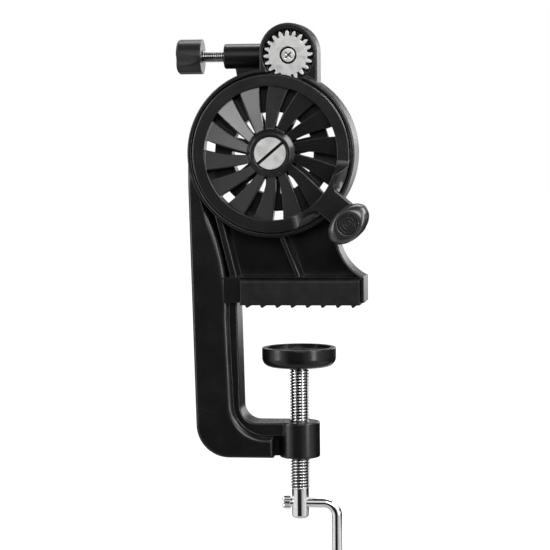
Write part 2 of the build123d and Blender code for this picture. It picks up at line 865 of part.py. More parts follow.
def crank_lobe():
    """Raised arm that carries the grip; on each side the rim climbs to it round a hollow scoop."""
    reach = bar(
        polar(rim_inner_radius + overshoot, crank_angle)[::2],
        polar(crank_radius, crank_angle)[::2],
        lobe_half_width * 2,
        lobe_front,
        lobe_back,
    )
    end_x, _, end_z = polar(crank_radius, crank_angle)
    reach += y_rod(lobe_half_width, lobe_front, lobe_back, end_x, end_z)
    reach = fillet(edges_at_y(reach, lobe_front), lobe_edge)
    ring = y_rod(flange_radius, lobe_front, flange_back) - y_rod(rim_inner_radius, lobe_front, flange_back)
    far = flange_radius * 2
    ramp_end = lobe_lip_angle + lobe_ramp_angle
    wedge = polygon(
        (0, 0),
        polar(far, crank_angle - ramp_end)[::2],
        polar(far, crank_angle + ramp_end)[::2],
    )
    raised = ring & prism(wedge, lobe_front, flange_back)
    floor = flange_front + lobe_scoop_dip
    rise = floor - lobe_front
    ramp_length = math.radians(lobe_ramp_angle) * flange_radius
    ramp_radius = (ramp_length**2 + rise**2) / (2 * rise)
    ramp = x_rod(ramp_radius, 0, far, floor - ramp_radius, 0)
    scoop_radius = (lobe_scoop_reach**2 + rise**2) / (2 * rise)
    from_axis = rim_inner_radius + lobe_lip + lobe_scoop_reach
    from_arm = lobe_half_width + lobe_scoop_reach - lobe_scoop_under
    scoop_turn = math.degrees(math.asin(from_arm / from_axis))
    scoop_y = floor - scoop_radius
    for side in (-1, 1):
        hollow = Pos(from_axis, scoop_y, 0) * Sphere(scoop_radius)
        hollow += z_rod(scoop_radius, min(0, side * far), max(0, side * far), from_axis, scoop_y)
        raised -= Rot(0, -(crank_angle + side * ramp_end), 0) * ramp
        raised -= Rot(0, -(crank_angle + side * scoop_turn), 0) * hollow
    return [reach, raised]


def hand_wheel():
    """Bladed wheel with its gear ring, in one piece."""
    flange = y_rod(flange_radius, flange_front, flange_back)
    flange = fillet(edges_at_y(flange, flange_front), flange_edge)
    hub = y_rod(hub_radius, hub_front, gear_back)
    hub = chamfer(edges_at_y(hub, hub_front), hub_chamfer)
    carrier = y_rod(wheel_root_radius - overshoot, flange_back - overshoot, gear_back)
    teeth = gear(wheel_teeth, wheel_tooth_angle())
    rim = flange + [carrier, teeth]
    rim -= y_rod(rim_inner_radius, flange_front - overshoot, gear_back + overshoot)
    first = blade()
    fan = [Rot(0, -number * 360 / blades, 0) * first for number in range(blades)]
    solid = rim + [hub] + fan + crank_lobe()
    solid -= y_rod(coin_radius + head_gap, hub_front - overshoot, hub_well)
    solid -= y_rod(bush_radius, hub_well - overshoot, gear_back + overshoot)
    end_x, _, end_z = polar(crank_radius, crank_angle)
    solid -= y_rod(crank_pin_radius, lobe_front - overshoot, lobe_back + overshoot, end_x, end_z)
    return wheel_place(solid)


def wheel_bush():
    """Bearing bush in the wheel's hub."""
    ring = y_rod(bush_radius, hub_well, gear_back)
    bore = y_rod(axle_radius + running, hub_well - overshoot, gear_back + overshoot)
    return wheel_place(ring - bore)


def wheel_axle():
    """Stub axle pressed in the frame's hub boss, tapped for the coin screw."""
    pin = y_rod(axle_radius, axle_front, axle_back)
    bore = y_rod(coin_shank_radius, axle_front - overshoot, coin_back + coin_shank_length)
    return wheel_place(pin - bore)


def wheel_washer():
    """Thin washer between the coin screw's head and the axle's end."""
    disc = y_rod(washer_radius, coin_back, axle_front)
    return wheel_place(disc - y_rod(coin_shank_radius, coin_front, axle_front + overshoot))


def coin_screw():
    """Wide flat head with a slot for a coin, and its shank."""
    head = y_rod(coin_radius, coin_front, coin_back)
    head = fillet(edges_at_y(head, coin_front), coin_edge)
    start = polar(-coin_radius - overshoot, coin_slot_angle)[::2]
    end = polar(coin_radius + overshoot, coin_slot_angle)[::2]
    head -= bar(start, end, coin_slot, coin_front - overshoot, coin_front + coin_slot_depth)
    return wheel_place(head + y_rod(coin_shank_radius, coin_back, coin_back + coin_shank_length))


# ---------------------------------------------------------------- crank grip
def crank_grip():
    """Grip that swells from a round foot to a wide oval and ends in a round nose."""
    turn = Rot(0, -grip_turn, 0)
    sections = []
    for share, long_radius, short_radius in grip_sections:
        outline = Plane.XZ * Ellipse(long_radius, short_radius)
        sections.append(Pos(crank_x, grip_base - grip_length * share, crank_z) * turn * outline)
    body = loft(sections)
    body -= y_rod(crank_pin_radius + running, grip_front, grip_base + overshoot, crank_x, crank_z)
    body -= y_rod(crank_pin_head_radius + gap, grip_front, pin_head_back + running, crank_x, crank_z)
    return body - y_rod(cap_radius, grip_front - overshoot, cap_back, crank_x, crank_z)


def crank_pin():
    """Headed pin pressed in the crank lobe."""
    shank = y_rod(crank_pin_radius, pin_head_back, lobe_back, crank_x, crank_z)
    return shank + y_rod(
        crank_pin_head_radius, pin_head_back - crank_pin_head, pin_head_back, crank_x, crank_z
    )


def grip_cap():
    """Round cap in the grip's nose, with ring grooves and a dimple."""
    front = cap_front - overshoot
    floor = cap_front + cap_groove
    cap = y_rod(cap_radius, cap_front, cap_back, crank_x, crank_z)
    for radius in cap_ring_radii:
        inside = y_rod(radius - cap_ring, front, floor, crank_x, crank_z)
        cap -= y_rod(radius, front, floor, crank_x, crank_z) - inside
    return cap - y_rod(cap_dimple_radius, front, floor, crank_x, crank_z)


# ---------------------------------------------------------------- spindle and spool cones
def spindle_place(shape):
    """Put a shape made round the Y axis on the spindle's axis."""
    return Pos(pinion_x, 0, pinion_z) * shape


def spindle_seat():
    """Round seat with a flat on top, between the spindle's shoulder and its front end."""
    seat = y_rod(spindle_seat_radius, pinion_seat, gear_back)
    far = spindle_seat_radius * 2
    flat = block(-far, far, pinion_seat - overshoot, gear_back + overshoot, spindle_flat, far)
    return seat - flat


def spindle():
    """Shaft with a flatted seat for the pinion, a tapped front end and a thinner pilot at the back."""
    shaft = y_rod(spindle_radius, gear_back, pilot_start)
    shaft = chamfer(edges_at_y(shaft, pilot_start), spindle_chamfer)
    pilot = y_rod(pilot_radius, pilot_start, spindle_end)
    pilot = chamfer(edges_at_y(pilot, spindle_end), spindle_chamfer)
    hole = y_rod(pinion_screw_radius, pinion_seat - overshoot, pinion_seat + pinion_screw_length)
    return spindle_place(shaft + [pilot, spindle_seat()] - hole)


def pinion():
    """Small gear with a recess for the screw head."""
    solid = gear(pinion_teeth, pinion_tooth_angle) - spindle_seat()
    return spindle_place(solid - y_rod(pinion_recess_radius, gear_front - overshoot, pinion_seat))


def pinion_screw():
    """Pan-head screw with a cross recess."""
    front = pinion_seat - pinion_screw_head
    head = fillet(edges_at_y(y_rod(pinion_screw_head_radius, front, pinion_seat), front), pinion_screw_edge)
    screw = head + y_rod(pinion_screw_radius, pinion_seat, pinion_seat + pinion_screw_length)
    half = cross_length / 2
    for angle in (cross_angle, cross_angle + 90):
        start = polar(-half, angle)[::2]
        end = polar(half, angle)[::2]
        screw -= bar(start, end, cross_width, front - overshoot, front + cross_depth)
    return spindle_place(screw)


def spindle_ring(outside, inside, y_from, y_to):
    """Plain ring on the spindle's axis."""
    bore = y_rod(inside, y_from - overshoot, y_to + overshoot)
    return spindle_place(y_rod(outside, y_from, y_to) - bore)


def spool_cone(base, tip, bore, base_y, tip_y, rim):
    """Cone on the spindle with a short straight rim at its wide end."""
    rim_y = base_y + math.copysign(rim, tip_y - base_y)
    profile = ((bore, base_y), (base, base_y), (base, rim_y), (tip, tip_y), (bore, tip_y))
    return y_turned(pinion_x, pinion_z, *profile)


def spool_nut():
    """Hand nut with finger grooves round its rim."""
    nut_back = nut_front + spool_nut_length
    nut = y_rod(spool_nut_radius, nut_front, nut_back)
    nut = chamfer(nut.edges().filter_by(GeomType.CIRCLE), spool_nut_chamfer)
    nut -= y_rod(spindle_radius + running, nut_front - overshoot, nut_back + overshoot)
    for number in range(spool_nut_grips):
        x, _, z = polar(spool_nut_radius + spool_nut_groove / 2, number * 360 / spool_nut_grips)
        nut -= y_rod(spool_nut_groove, nut_front - overshoot, nut_back + overshoot, x, z)
    return spindle_place(nut)


# ---------------------------------------------------------------- brake
def tension_place(shape):
    """Put a shape made round the X axis on the tension screw's axis."""
    return Pos(0, tension_y, tension_z) * shape


def tension_knob():
    """Knob with hollow finger flutes that run out before the plain collar on its screw side."""
    body = x_rod(tension_knob_radius, tension_knob_left, tension_knob_right)
    body = chamfer(body.edges().sort_by(Axis.X)[:1], tension_knob_chamfer)
    slope = math.degrees(math.atan2(knob_flute_depth, tension_knob_length - tension_knob_collar))
    cutter = Rot(0, 0, slope) * x_rod(knob_flute_radius, -tension_knob_length * 2, tension_knob_length)
    flute_end = tension_knob_right - tension_knob_collar
    cutter = Pos(flute_end, tension_knob_radius + knob_flute_radius, 0) * cutter
    for number in range(knob_flutes):
        body -= Rot(knob_flute_angle + number * 360 / knob_flutes, 0, 0) * cutter
    seat = tension_knob_right - tension_knob_seat
    return tension_place(body - x_rod(tension_screw_radius, seat, tension_knob_right + overshoot))


def tension_screw():
    """Screw from inside the knob to the brake shoe."""
    seat = tension_knob_right - tension_knob_seat
    return tension_place(x_rod(tension_screw_radius, seat, tension_screw_tip))


def brake_shoe():
    """Pad that the screw presses on the spindle."""
    return tension_place(x_rod(shoe_radius, tension_screw_tip, shoe_tip))


# ---------------------------------------------------------------- table clamp
def clamp_screw():
    """Screw with a stem for the cup on top and a cross hole for the handle below."""
    thread = z_rod(clamp_screw_radius, clamp_thread_bottom, cup_bottom - gap)
    shank = z_rod(clamp_shank_radius, clamp_screw_bottom, clamp_thread_bottom)
    shank = fillet(edges_at_z(shank, clamp_screw_bottom), clamp_screw_end)
    stem = z_rod(clamp_stem_radius, cup_bottom - gap, retainer_bottom + retainer_thickness + stem_tip)
    groove = z_rod(clamp_screw_radius, retainer_bottom, retainer_bottom + retainer_thickness)
    groove -= z_rod(clamp_stem_radius - stem_groove, retainer_bottom, retainer_bottom + retainer_thickness)
    hole = x_rod(handle_radius + handle_room, -clamp_screw_radius, clamp_screw_radius, 0, handle_z)
    return thread + [shank, stem] - [groove, hole]


def clamp_pad():
    """Round cup: rimmed top with a well for the screw's end, rounded below."""
    solid = z_rod(cup_radius, cup_bottom, cup_top)
    solid = fillet(edges_at_z(solid, cup_bottom), cup_bottom_fillet)
    solid = fillet(edges_at_z(solid, cup_top), cup_edge)
    solid -= z_rod(cup_radius - cup_rim, cup_top - cup_recess, cup_top + overshoot)
    solid -= z_rod(cup_well_radius, cup_well, cup_top)
    return solid - z_rod(clamp_stem_radius + running, cup_bottom - overshoot, cup_top)


def pad_retainer():
    """Ring in the stem's groove that keeps the cup on."""
    ring = z_rod(retainer_radius, retainer_bottom, retainer_bottom + retainer_thickness)
    return ring - z_rod(clamp_stem_radius - stem_groove, cup_bottom, cup_top)


def clamp_handle():
    """Bent rod through the screw, flattened at its short end."""
    crimp_end = handle_left + crimp_length
    bend_start = handle_leg_x - handle_bend
    path = [
        Line((crimp_end, 0, handle_z), (bend_start, 0, handle_z)),
        ThreePointArc(
            (bend_start, 0, handle_z),
            polar(handle_bend, upper_right, bend_start, handle_z - handle_bend),
            (handle_leg_x, 0, handle_z - handle_bend),
        ),
        Line((handle_leg_x, 0, handle_z - handle_bend), (handle_leg_x, 0, handle_z - handle_leg)),
    ]
    rod = sweep(Pos(crimp_end, 0, handle_z) * Rot(0, 90, 0) * Circle(handle_radius), path=Wire(path))
    rod = fillet(edges_at_z(rod, handle_z - handle_leg), handle_end)
    half_web = crimp_web / 2
    web_left = handle_left + crimp_web_start
    web_low = handle_z - crimp_ear_offset
    web = block(web_left, crimp_end, -half_web, half_web, web_low, handle_z + crimp_ear_offset)
    ears = []
    for ear_z in (web_low, handle_z + crimp_ear_offset):
        tip_x = handle_left + crimp_ear_radius
        ears.append(x_rod(crimp_ear_radius, tip_x, crimp_end, 0, ear_z))
        ears.append(Pos(tip_x, 0, ear_z) * Sphere(crimp_ear_radius))
    neck = loft(
        [
            Pos(crimp_end, 0, handle_z) * Rot(0, 90, 0) * Rectangle(crimp_neck, 2 * crimp_ear_radius),
            Pos(crimp_end + crimp_taper, 0, handle_z) * Rot(0, 90, 0) * Circle(handle_radius),
        ]
    )
    return rod + [web, *ears, neck]


# ---------------------------------------------------------------- all the pieces
nodes = {
    "frame": frame(),
    "jaw_pad": jaw_pad(),
    "tension_insert": tension_insert(),
    "clamp_insert": clamp_insert(),
    "front_bush": spindle_ring(spindle_bush_radius, spindle_radius + running, web_front, front_bush_back),
    "rear_bush": spindle_ring(
        spindle_bush_radius, spindle_radius + running, rear_bush_front, rear_boss_back
    ),
    "wheel_axle": wheel_axle(),
    "wheel_washer": wheel_washer(),
    "coin_screw": coin_screw(),
    "hand_wheel": hand_wheel(),
    "wheel_bush": wheel_bush(),
    "crank_pin": crank_pin(),
    "crank_grip": crank_grip(),
    "grip_cap": grip_cap(),
    "spindle": spindle(),
    "pinion": pinion(),
    "pinion_screw": pinion_screw(),
    "spindle_collar": spindle_ring(collar_radius, spindle_radius, collar_front, inner_cone_front),
    "inner_cone": spool_cone(
        inner_cone_base, inner_cone_tip, spindle_radius, inner_cone_front, cone_back, cone_rim
    ),
    "outer_cone": spool_cone(
        outer_cone_base,
        outer_cone_tip,
        spindle_radius + running,
        outer_cone_back,
        outer_cone_front,
        cone_rim,
    ),
    "spool_nut": spool_nut(),
    "tension_knob": tension_knob(),
    "tension_screw": tension_screw(),
    "brake_shoe": brake_shoe(),
    "clamp_screw": clamp_screw(),
    "clamp_pad": clamp_pad(),
    "pad_retainer": pad_retainer(),
    "clamp_handle": clamp_handle(),
}

os.makedirs("parts", exist_ok=True)
for name, solid in nodes.items():
    solid.label = name
    export_step(solid, f"parts/{name}.step")
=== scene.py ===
import json
import math

import bmesh
import bpy
from mathutils import Matrix, Vector


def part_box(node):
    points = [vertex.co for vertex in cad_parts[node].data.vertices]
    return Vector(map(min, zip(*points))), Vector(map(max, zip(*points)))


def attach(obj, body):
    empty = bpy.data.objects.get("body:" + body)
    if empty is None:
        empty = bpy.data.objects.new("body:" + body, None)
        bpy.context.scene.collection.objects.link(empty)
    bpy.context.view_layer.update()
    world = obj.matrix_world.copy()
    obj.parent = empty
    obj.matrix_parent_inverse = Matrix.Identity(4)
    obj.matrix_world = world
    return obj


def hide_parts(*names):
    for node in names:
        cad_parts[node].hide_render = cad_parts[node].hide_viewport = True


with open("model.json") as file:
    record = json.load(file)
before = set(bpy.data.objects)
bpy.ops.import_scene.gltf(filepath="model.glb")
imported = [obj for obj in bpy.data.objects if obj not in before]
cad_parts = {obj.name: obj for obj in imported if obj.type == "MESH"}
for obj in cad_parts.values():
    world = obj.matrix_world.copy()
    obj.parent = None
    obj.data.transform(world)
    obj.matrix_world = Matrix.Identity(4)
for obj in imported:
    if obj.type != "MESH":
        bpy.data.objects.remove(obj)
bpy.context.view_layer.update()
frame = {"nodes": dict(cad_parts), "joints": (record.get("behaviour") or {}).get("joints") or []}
cad = frame["nodes"]
joints = {joint["name"]: joint for joint in frame["joints"]}
MM = 0.001
X_AXIS = (1.0, 0.0, 0.0)
Y_AXIS = (0.0, 1.0, 0.0)
Z_AXIS = (0.0, 0.0, 1.0)

# ---------------------------------------------------------------- camera
AZIMUTH = math.radians(8.0)
PITCH = math.radians(4.2)
ROLL = math.radians(0.6)
DISTANCE = 1.140
IMAGE_PX = 550
FOCAL_PX = 2280.0
ORIGIN_PX = (298.6, 305.8)
SENSOR_MM = 36.0
NEAR_CLIP = 0.05
FAR_CLIP = 50.0


def make_camera():
    """Camera at the photograph's angle, placed so that the frame's origin falls on ORIGIN_PX."""
    level_share = math.cos(PITCH)
    forward = Vector((-math.sin(AZIMUTH) * level_share, math.cos(AZIMUTH) * level_share, -math.sin(PITCH)))
    level = Vector((math.cos(AZIMUTH), math.sin(AZIMUTH), 0.0))
    upright = level.cross(forward)
    right = level * math.cos(ROLL) - upright * math.sin(ROLL)
    up = upright * math.cos(ROLL) + level * math.sin(ROLL)
    across = (ORIGIN_PX[0] - IMAGE_PX / 2) / FOCAL_PX
    down = (ORIGIN_PX[1] - IMAGE_PX / 2) / FOCAL_PX
    place = -(forward + right * across - up * down) * DISTANCE
    camera = bpy.data.objects.new("camera", bpy.data.cameras.new("camera"))
    bpy.context.scene.collection.objects.link(camera)
    camera.data.sensor_width = SENSOR_MM
    camera.data.lens = FOCAL_PX / IMAGE_PX * SENSOR_MM
    camera.data.clip_start = NEAR_CLIP
    camera.data.clip_end = FAR_CLIP
    turn = Matrix((right, up, -forward)).transposed().to_4x4()
    camera.matrix_world = Matrix.Translation(place) @ turn
    bpy.context.scene.camera = camera


# ---------------------------------------------------------------- shader nodes
def grey(level, *alpha):
    return (level, level, level, *alpha)


class Nodes:
    """Short calls for one tree's nodes. Their values are other nodes' outputs or fixed ones."""

    def __init__(self, tree):
        self.tree = tree

    def node(self, kind, **settings):
        made = self.tree.nodes.new(kind)
        for key, value in settings.items():
            setattr(made, key, value)
        return made

    def feed(self, value, socket):
        """Links an output to a socket, or sets the socket to a fixed value."""
        if isinstance(value, bpy.types.NodeSocket):
            self.tree.links.new(value, socket)
        else:
            socket.default_value = value

    def maths(self, operation, first, second):
        made = self.node("ShaderNodeMath", operation=operation)
        self.feed(first, made.inputs[0])
        self.feed(second, made.inputs[1])
        return made.outputs[0]

    def vector_maths(self, operation, first, second=(0.0, 0.0, 0.0)):
        made = self.node("ShaderNodeVectorMath", operation=operation)
        self.feed(first, made.inputs[0])
        self.feed(second, made.inputs[1])
        return made.outputs["Value" if operation in ("DOT_PRODUCT", "LENGTH") else "Vector"]

    def ranged(self, value, low_in, high_in, low_out=0.0, high_out=1.0, **settings):
        """Goes from low_out to high_out while a value goes from low_in to high_in."""
        made = self.node("ShaderNodeMapRange", **settings)
        for number, setting in enumerate((low_in, high_in, low_out, high_out), start=1):
            made.inputs[number].default_value = setting
        self.feed(value, made.inputs["Value"])
        return made.outputs["Result"]

    def mixed(self, factor, first, second):
        """Number between two others."""
        made = self.node("ShaderNodeMix")
        for number, value in ((0, factor), (2, first), (3, second)):
            self.feed(value, made.inputs[number])
        return made.outputs[0]

    def axes(self, vector):
        made = self.node("ShaderNodeSeparateXYZ")
        self.feed(vector, made.inputs[0])
        return made.outputs

    def grey_ramp(self, value, stops):
        """Brightness that follows (value, brightness) stops."""
        made = self.node("ShaderNodeValToRGB")
        marks = made.color_ramp.elements
        marks.remove(marks[1])
        marks[0].position = stops[0][0]
        marks[0].color = grey(stops[0][1], 1.0)
        for place, brightness in stops[1:]:
            marks.new(place).color = grey(brightness, 1.0)
        self.feed(value, made.inputs["Fac"])
        return made.outputs["Color"]


class Surface(Nodes):
    """A Principled material under construction."""

    def __init__(self, name, colour, roughness, metallic=0.0, specular=0.5):
        self.material = bpy.data.materials.new(name)
        self.material.use_nodes = True
        super().__init__(self.material.node_tree)
        self.shader = self.tree.nodes["Principled BSDF"]
        self.shader.inputs["Base Color"].default_value = (*colour, 1.0)
        self.shader.inputs["Roughness"].default_value = roughness
        self.shader.inputs["Metallic"].default_value = metallic
        self.shader.inputs["Specular IOR Level"].default_value = specular
        self.place = self.node("ShaderNodeTexCoord").outputs["Object"]

    def stretched(self, scale):
        """Object coordinates scaled by axis."""
        made = self.node("ShaderNodeMapping")
        made.inputs["Scale"].default_value = scale
        self.feed(self.place, made.inputs["Vector"])
        return made.outputs["Vector"]

    def noise(self, size, detail=2.0, vector=None):
        """Noise whose blobs are about `size` metres across."""
        made = self.node("ShaderNodeTexNoise")
        made.inputs["Scale"].default_value = 1.0 / size
        made.inputs["Detail"].default_value = detail
        self.feed(vector or self.place, made.inputs["Vector"])
        return made.outputs["Fac"]

    def coloured(self, factor, first, second):
        """Colour between two others."""
        made = self.node("ShaderNodeMix", data_type="RGBA")
        self.feed(factor, made.inputs[0])
        for number, colour in ((6, first), (7, second)):
            self.feed((*colour, 1.0) if isinstance(colour, tuple) else colour, made.inputs[number])
        return made.outputs[2]

    def paint(self, colour):
        self.feed(colour, self.shader.inputs["Base Color"])

    def rough(self, value):
        self.feed(value, self.shader.inputs["Roughness"])

    def rounded_normal(self, radius):
        made = self.node("ShaderNodeBevel", samples=6)
        made.inputs["Radius"].default_value = radius
        return made.outputs["Normal"]

    def edges(self, radius):
        """One on edges and corners and nought on flats, from how far a rounded normal turns."""
        flat = self.node("ShaderNodeNewGeometry").outputs["Normal"]
        return self.ranged(self.vector_maths("DOT_PRODUCT", self.rounded_normal(radius), flat), 1.0, 0.9)

    def bump(self, height, depth, rounding):
        """Bump from a height of nought to one that stands for `depth` metres, over rounded edges."""
        made = self.node("ShaderNodeBump")
        made.inputs["Strength"].default_value = 1.0
        made.inputs["Distance"].default_value = depth
        self.feed(height, made.inputs["Height"])
        self.feed(self.rounded_normal(rounding), made.inputs["Normal"])
        self.feed(made.outputs["Normal"], self.shader.inputs["Normal"])

    def axis_distance(self, axis, point):
        """Distance from the line along one of the axes that goes through a point."""
        across = tuple(1.0 - share for share in axis)
        local = self.vector_maths("SUBTRACT", self.place, point)
        return self.vector_maths("LENGTH", self.vector_maths("MULTIPLY", local, across))

    def painted_root_shade(self, axis, point, crest_radius, pitch, start, end):
        """Near one in the roots of a thread and nought on its crests and beyond its ends: where a painted
        shade darkens the thread.
        """
        radius = self.axis_distance(axis, point)
        height = self.vector_maths("DOT_PRODUCT", self.place, axis)
        deep = self.ranged(radius, crest_radius - pitch * 0.58, crest_radius - pitch * 0.4, 0.8, 0.0)
        begun = self.ranged(height, start, start + pitch * 0.5)
        ended = self.ranged(height, end - pitch * 0.5, end, 1.0, 0.0)
        return self.maths("MULTIPLY", self.maths("MULTIPLY", deep, begun), ended)


# ---------------------------------------------------------------- materials
# Most of a noise's values lie between these
NOISE_RANGE = (0.3, 0.7)


def scaled(colour, factor, added=0.0):
    return tuple(channel * factor + added for channel in colour)


def plastic(name, colour, roughness, grain, depth, rounding, specular):
    """Moulded black plastic: fine grain, flow marks, and edges that are slightly polished and lightened by
    a painted highlight.
    """
    made = Surface(name, colour, roughness, specular=specular)
    edge_highlight_and_polish = made.edges(rounding * 1.5)
    flow_marks = made.ranged(made.noise(30 * MM), 0.35, 0.7, 0.0, 0.35)
    # painted highlight: edges and corners are painted lighter; the same mask also makes them a little
    # smoother
    tone = made.maths("ADD", flow_marks, made.maths("MULTIPLY", edge_highlight_and_polish, 0.5))
    made.paint(made.coloured(tone, colour, scaled(colour, 1.7, 0.0015)))
    patches = made.ranged(made.noise(12 * MM, 3.0), *NOISE_RANGE, roughness - 0.03, roughness + 0.04)
    made.rough(made.maths("ADD", patches, made.maths("MULTIPLY", edge_highlight_and_polish, -0.07)))
    made.bump(made.noise(grain, 3.0), depth, rounding)
    return made.material


def rubber(name, colour, roughness):
    """Moulded rubber: dull, dusty in patches, with a coarse skin."""
    made = Surface(name, colour, roughness, specular=0.22)
    dust = made.ranged(made.noise(6 * MM, 4.0), 0.45, 0.75, 0.0, 0.6)
    made.paint(made.coloured(dust, colour, scaled(colour, 1.8, 0.004)))
    made.rough(made.ranged(made.noise(2 * MM), *NOISE_RANGE, roughness - 0.06, roughness + 0.06))
    made.bump(made.noise(0.6 * MM, 3.0), 0.02 * MM, 1.2 * MM)
    return made.material


def metal(name, colour, roughness, rounding, streaks=(1.0, 1.0, 1.0), roots=None):
    """Metal with fine marks drawn out along one axis, cloudy polish and a painted shade, near black, in
    any thread's roots.
    """
    made = Surface(name, colour, roughness, metallic=1.0)
    marks = made.noise(0.6 * MM, 3.0, made.stretched(streaks))
    marked = made.coloured(made.ranged(marks, *NOISE_RANGE), scaled(colour, 0.78), colour)
    if roots:
        # painted shade: the thread's grooves are darkened towards near black, as if shade fell between the
        # crests
        marked = made.coloured(made.painted_root_shade(*roots), marked, grey(0.015))
    made.paint(marked)
    made.rough(made.ranged(made.noise(4 * MM, 3.0), *NOISE_RANGE, roughness * 0.85, roughness * 1.25))
    made.bump(marks, 0.004 * MM, rounding)
    return made.material


def turned_metal(name, colour, roughness, axis_point, rounding, face_y, ring):
    """Face turned on a lathe: fine rings round a Y axis, with painted shade in its recesses and a painted
    shadow in one ring.
    """
    made = Surface(name, colour, roughness, metallic=1.0)
    radius = made.axis_distance(Y_AXIS, axis_point)
    rings = made.node("ShaderNodeTexNoise", noise_dimensions="1D")
    rings.inputs["Scale"].default_value = 1.0 / (0.22 * MM)
    rings.inputs["Detail"].default_value = 2.0
    made.feed(radius, rings.inputs["W"])
    turned = made.coloured(made.ranged(rings.outputs["Fac"], *NOISE_RANGE), scaled(colour, 0.86), colour)
    # painted shade: everything more than 0.3 mm behind the front face turns dark, in slots and recesses; a
    # painted shadow darkens one ring between two radii
    recess = made.ranged(made.axes(made.place)["Y"], face_y + 0.3 * MM, face_y + 0.7 * MM)
    outward = made.ranged(radius, ring[0] - 0.1 * MM, ring[0] + 0.1 * MM)
    inward = made.ranged(radius, ring[1] + 0.1 * MM, ring[1] - 0.1 * MM)
    painted_shade = made.maths("MAXIMUM", recess, made.maths("MULTIPLY", outward, inward))
    made.paint(made.coloured(painted_shade, turned, grey(0.02)))
    made.rough(made.ranged(made.noise(3 * MM, 3.0), *NOISE_RANGE, roughness * 0.85, roughness * 1.2))
    made.bump(rings.outputs["Fac"], 0.006 * MM, rounding)
    return made.material


# ---------------------------------------------------------------- stage
ROOM_LIGHT = 0.6
# Brightness above the walls in front of the object and behind it, by how steeply one looks up
CEILING_FRONT = ((0.0, 0.9), (0.6, 0.9), (0.72, 0.1), (1.0, 0.1))
CEILING_BACK = ((0.0, 0.04), (0.26, 0.04), (0.32, 1.0), (0.7, 1.0), (1.0, 0.1))
# How steeply one looks up where the walls begin to give way to the ceiling and where they end
WALL_TOP = (0.08, 0.14)
# Studio walls round the object as reflections show them: share of a turn, from the backdrop by the
# left, the camera and the right to the backdrop again, and brightness
WALLS = (
    (0.0, 1.0),
    (0.07, 1.0),
    (0.09, 0.04),
    (0.165, 0.04),
    (0.185, 0.9),
    (0.39, 0.9),
    (0.42, 0.015),
    (0.545, 0.015),
    (0.58, 0.5),
    (0.7, 0.9),
    (0.815, 0.9),
    (0.835, 0.04),
    (0.91, 0.04),
    (0.93, 1.0),
)
# Half the width over which the studio's front passes into its back
BLEND = 0.1


def ray_kinds(made):
    """The kinds of ray, and one for those that show the background rather than light the object."""
    rays = made.node("ShaderNodeLightPath").outputs
    seen = made.maths("MAXIMUM", rays["Is Camera Ray"], rays["Is Glossy Ray"])
    return rays, made.maths("MAXIMUM", seen, rays["Is Transmission Ray"])


def behind(made, axes):
    """One on the backdrop's side of the object and nought on the camera's side."""
    return made.ranged(axes["Y"], -BLEND, BLEND)


def studio_walls(made, towards):
    """Brightness of the studio's walls, or of the floor that continues them, in a direction."""
    axes = made.axes(towards)
    turn = made.maths("ARCTAN2", axes["X"], made.maths("MULTIPLY", axes["Y"], -1.0))
    return made.grey_ramp(made.ranged(turn, -math.pi, math.pi), WALLS)


def make_world():
    """White to the camera. Reflections show a studio with a white backdrop and darker walls."""
    world = bpy.data.worlds.new("studio")
    bpy.context.scene.world = world
    world.use_nodes = True
    world.node_tree.nodes.clear()
    made = Nodes(world.node_tree)
    direction = made.node("ShaderNodeTexCoord").outputs["Generated"]
    axes = made.axes(direction)
    front = made.grey_ramp(axes["Z"], CEILING_FRONT)
    back = made.grey_ramp(axes["Z"], CEILING_BACK)
    ceiling = made.mixed(behind(made, axes), front, back)
    studio = made.mixed(made.ranged(axes["Z"], *WALL_TOP), studio_walls(made, direction), ceiling)
    rays, seen = ray_kinds(made)
    shown = made.maths("MAXIMUM", studio, rays["Is Camera Ray"])
    room = made.node("ShaderNodeBackground")
    room.inputs["Color"].default_value = grey(1.0, 1.0)
    made.feed(made.mixed(seen, ROOM_LIGHT, shown), room.inputs["Strength"])
    out = made.node("ShaderNodeOutputWorld")
    made.feed(room.outputs["Background"], out.inputs["Surface"])


FLOOR_Z = -0.178
FLOOR_HALF = 6.0
FLOOR_FRONT = -0.5
# Glow that whitens the floor where it is seen, and the distances in metres between which it grows
FLOOR_GLOW = (0.12, 0.62)
FLOOR_GLOW_REACH = (0.2, 2.2)
# What reflections show of the floor: a light patch under the object and the walls' brightness beyond,
# behind the object in bands by distance up to where it is white again
FLOOR_PATCH = 0.6
FLOOR_PATCH_EDGE = (0.2, 0.24)
FLOOR_BACK_BANDS = ((0.0, 1.0), (0.4, 1.0), (0.46, 0.04), (1.0, 0.04))
FLOOR_BACK_WHITE = (1.7, 2.0)


